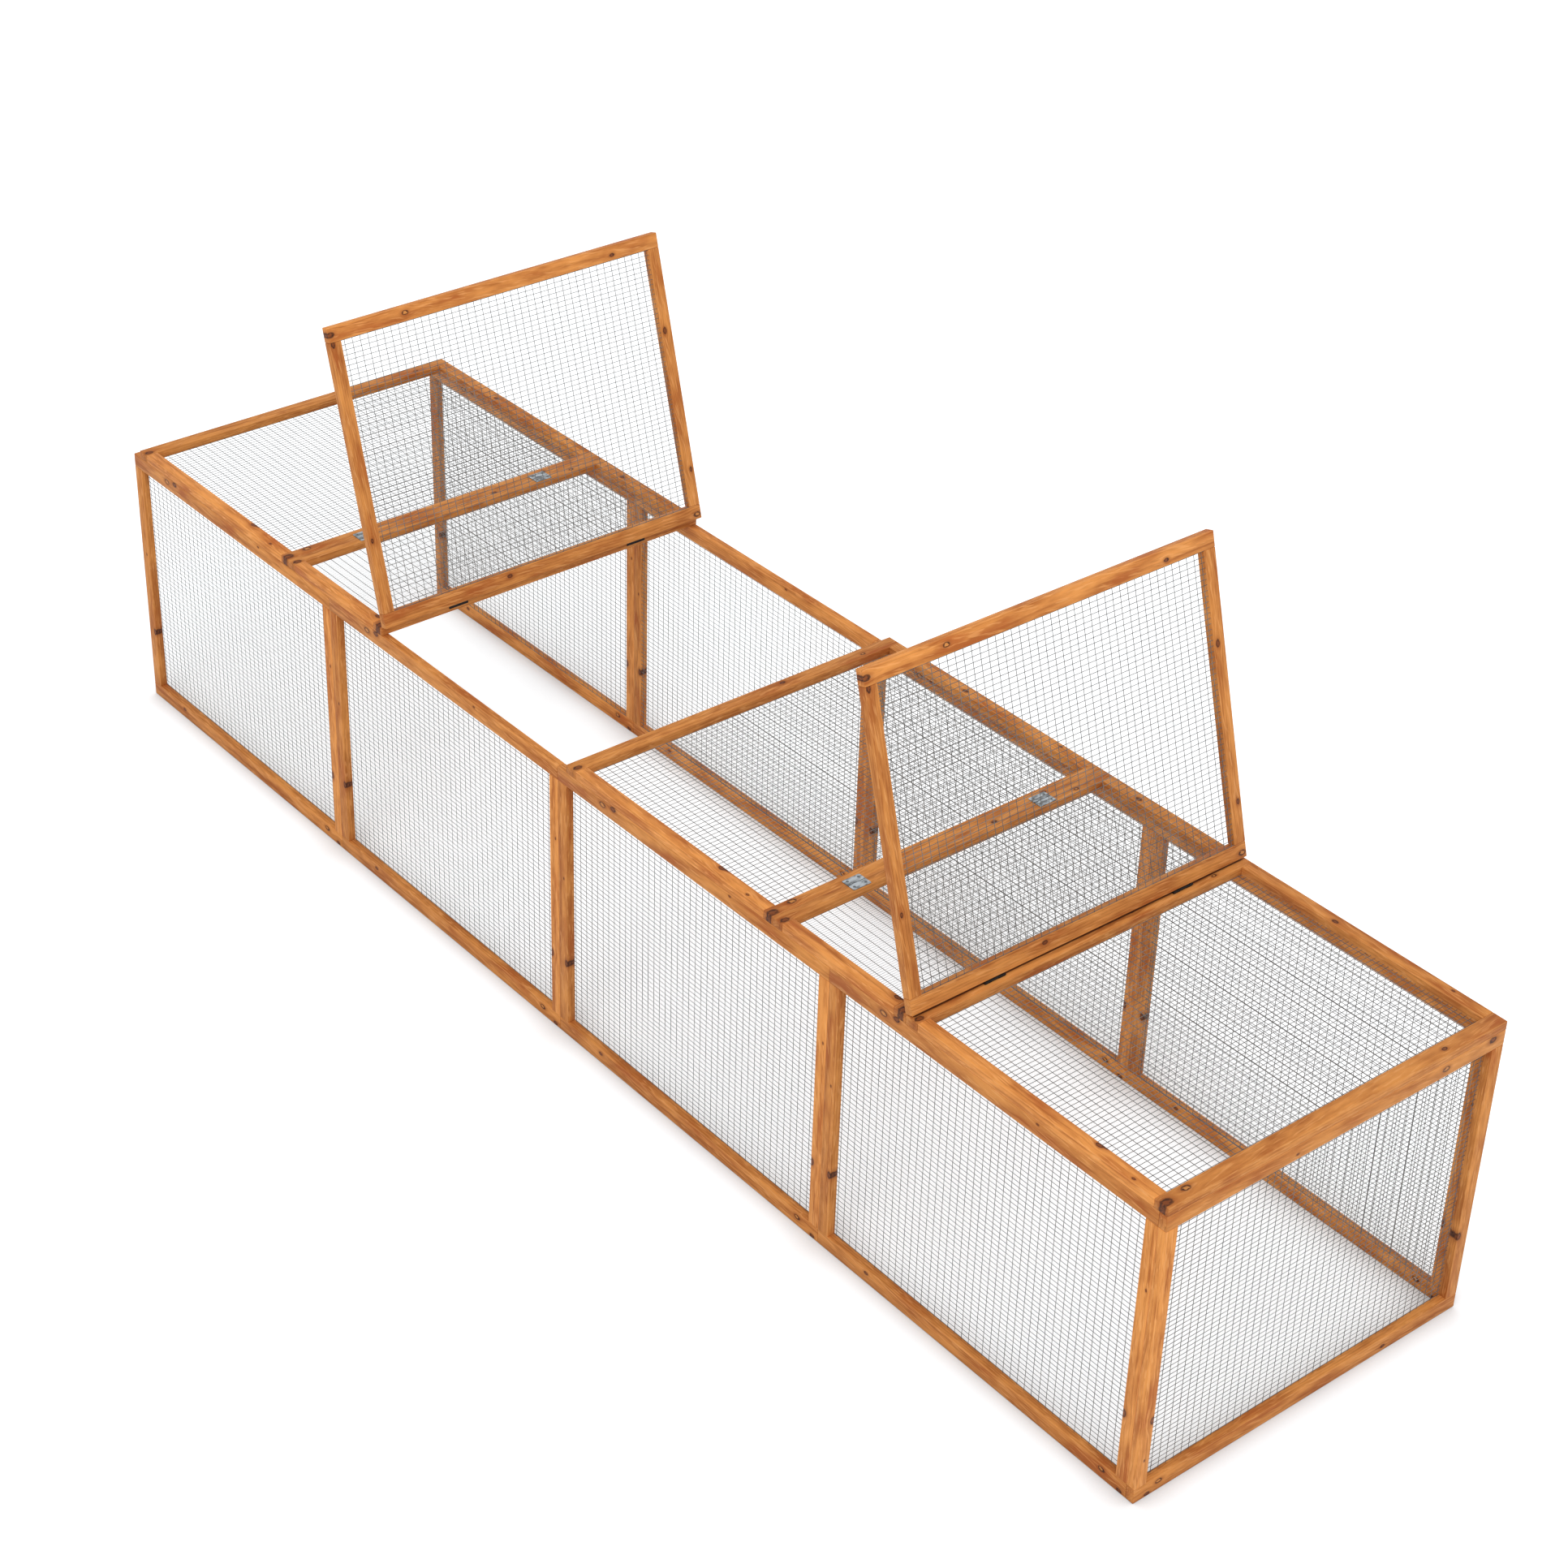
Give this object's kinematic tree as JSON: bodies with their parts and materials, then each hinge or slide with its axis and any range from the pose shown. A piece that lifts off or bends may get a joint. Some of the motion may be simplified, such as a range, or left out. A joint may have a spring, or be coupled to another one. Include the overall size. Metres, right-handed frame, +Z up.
{
  "type": "rabbit run",
  "caption": "Long timber and wire net rabbit run with a netted roof and hinged roof lids, open underneath and at one end.",
  "frame": {"origin": "on the ground under the middle of the run's length and width, with both lids standing open", "axes": "+X along the run from its open end to its netted end, +Y across it from the near long side to the far one, +Z up"},
  "size_m": [3.0804, 0.765, 1.1831],
  "materials": {
    "stained_timber": "planed softwood battens stained warm orange brown, with dark knots and fine grain, matt",
    "galvanised_net": "galvanised welded wire net, dull grey",
    "zinc_plate": "bright zinc-plated steel plate with screws",
    "black_steel": "black-painted steel butt hinges, satin"
  },
  "bodies": {
    "root": {"near_side_frame_1": "stained_timber", "near_side_frame_2": "stained_timber", "near_side_frame_3": "stained_timber", "near_side_frame_4": "stained_timber", "far_side_frame_1": "stained_timber", "far_side_frame_2": "stained_timber", "far_side_frame_3": "stained_timber", "far_side_frame_4": "stained_timber", "end_frame": "stained_timber", "roof_frame_1": "stained_timber", "roof_frame_2": "stained_timber", "roof_frame_3": "stained_timber", "roof_frame_4": "stained_timber", "roof_frame_5": "stained_timber", "near_side_net_1": "galvanised_net", "near_side_net_2": "galvanised_net", "near_side_net_3": "galvanised_net", "near_side_net_4": "galvanised_net", "far_side_net_1": "galvanised_net", "far_side_net_2": "galvanised_net", "far_side_net_3": "galvanised_net", "far_side_net_4": "galvanised_net", "end_net": "galvanised_net", "roof_net_1": "galvanised_net", "roof_net_2": "galvanised_net", "roof_net_3": "galvanised_net", "roof_net_4": "galvanised_net", "roof_net_5": "galvanised_net", "first_joint_plate_near": "zinc_plate", "first_joint_plate_far": "zinc_plate", "second_joint_plate_near": "zinc_plate", "second_joint_plate_far": "zinc_plate", "lid_1_hinge_near_fixed_leaf": "black_steel", "lid_1_hinge_near_pin": "black_steel", "lid_1_hinge_far_fixed_leaf": "black_steel", "lid_1_hinge_far_pin": "black_steel", "lid_2_hinge_near_fixed_leaf": "black_steel", "lid_2_hinge_near_pin": "black_steel", "lid_2_hinge_far_fixed_leaf": "black_steel", "lid_2_hinge_far_pin": "black_steel"},
    "lid_1": {"lid_1_hinge_rail": "stained_timber", "lid_1_lift_rail": "stained_timber", "lid_1_near_stile": "stained_timber", "lid_1_far_stile": "stained_timber", "lid_1_net": "galvanised_net", "lid_1_hinge_near_moving_leaf": "black_steel", "lid_1_hinge_far_moving_leaf": "black_steel"},
    "lid_2": {"lid_2_hinge_rail": "stained_timber", "lid_2_lift_rail": "stained_timber", "lid_2_near_stile": "stained_timber", "lid_2_far_stile": "stained_timber", "lid_2_net": "galvanised_net", "lid_2_hinge_near_moving_leaf": "black_steel", "lid_2_hinge_far_moving_leaf": "black_steel"}
  },
  "joints": [
    {"name": "lid_1_hinge", "type": "hinge", "parent": "root", "child": "lid_1", "pos_m": [-0.5822, 0, 0.609], "axis": [0, 1, 0], "range_deg": [0, 105.8]},
    {"name": "lid_2_hinge", "type": "hinge", "parent": "root", "child": "lid_2", "pos_m": [0.9631, 0, 0.61279], "axis": [0, 1, 0], "range_deg": [0, 105.8]}
  ]
}
